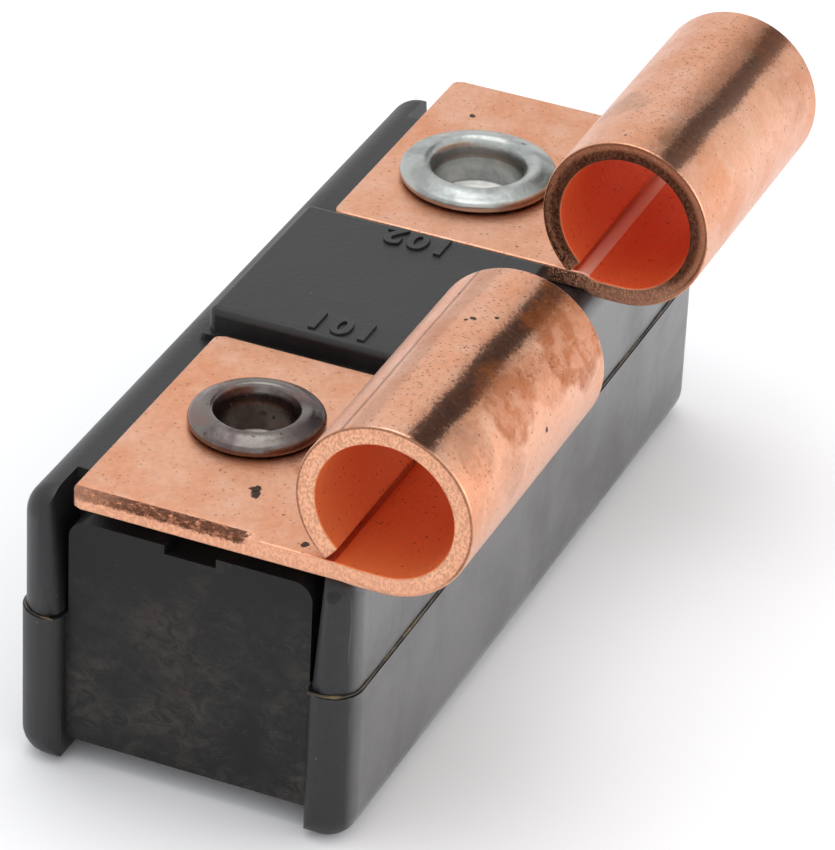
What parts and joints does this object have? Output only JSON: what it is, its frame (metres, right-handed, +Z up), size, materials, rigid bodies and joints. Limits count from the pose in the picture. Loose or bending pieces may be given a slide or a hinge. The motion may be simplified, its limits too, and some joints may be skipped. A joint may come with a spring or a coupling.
{
  "type": "automotive circuit breaker",
  "caption": "Fuse-clip mounted thermal circuit breaker: black moulded housing, rolled copper barrel terminals riveted on top, bimetal blade inside.",
  "frame": {"origin": "on the plane of the feet, under the middle of the whole object, barrels included", "axes": "+X along the housing and the barrels towards the load end, +Y across the housing away from the barrels, +Z up out of the terminals' side"},
  "size_m": [0.0326, 0.0166, 0.0172],
  "materials": {
    "upper_moulding": "satin black moulded phenolic",
    "lower_moulding": "satin black moulded phenolic",
    "cement": "amber glue line",
    "line_copper": "rolled copper strip, lightly stained",
    "load_copper": "rolled copper strip",
    "dark_rivet": "heat-darkened plated steel",
    "bright_rivet": "bright zinc plated steel",
    "bracket_brass": "plain brass strip",
    "bimetal": "rolled bimetal strip",
    "contact_silver": "silver alloy"
  },
  "bodies": {
    "breaker": {"upper_housing": "upper_moulding", "lower_housing": "lower_moulding", "housing_cement": "cement", "line_terminal": "line_copper", "load_terminal": "load_copper", "line_rivet": "dark_rivet", "load_rivet": "bright_rivet", "line_bracket": "bracket_brass", "load_bracket": "bracket_brass", "fixed_contact": "contact_silver"},
    "blade": {"bimetal_blade": "bimetal", "moving_contact": "contact_silver"}
  },
  "joints": [
    {"name": "blade_trip", "type": "hinge", "parent": "breaker", "child": "blade", "pos_m": [-0.0132, 0.00202, 0.0046], "axis": [0, 1, 0], "range_deg": [0, 2.8], "stiffness_Nm_per_rad": 0.65, "springref_deg": -0.86}
  ]
}
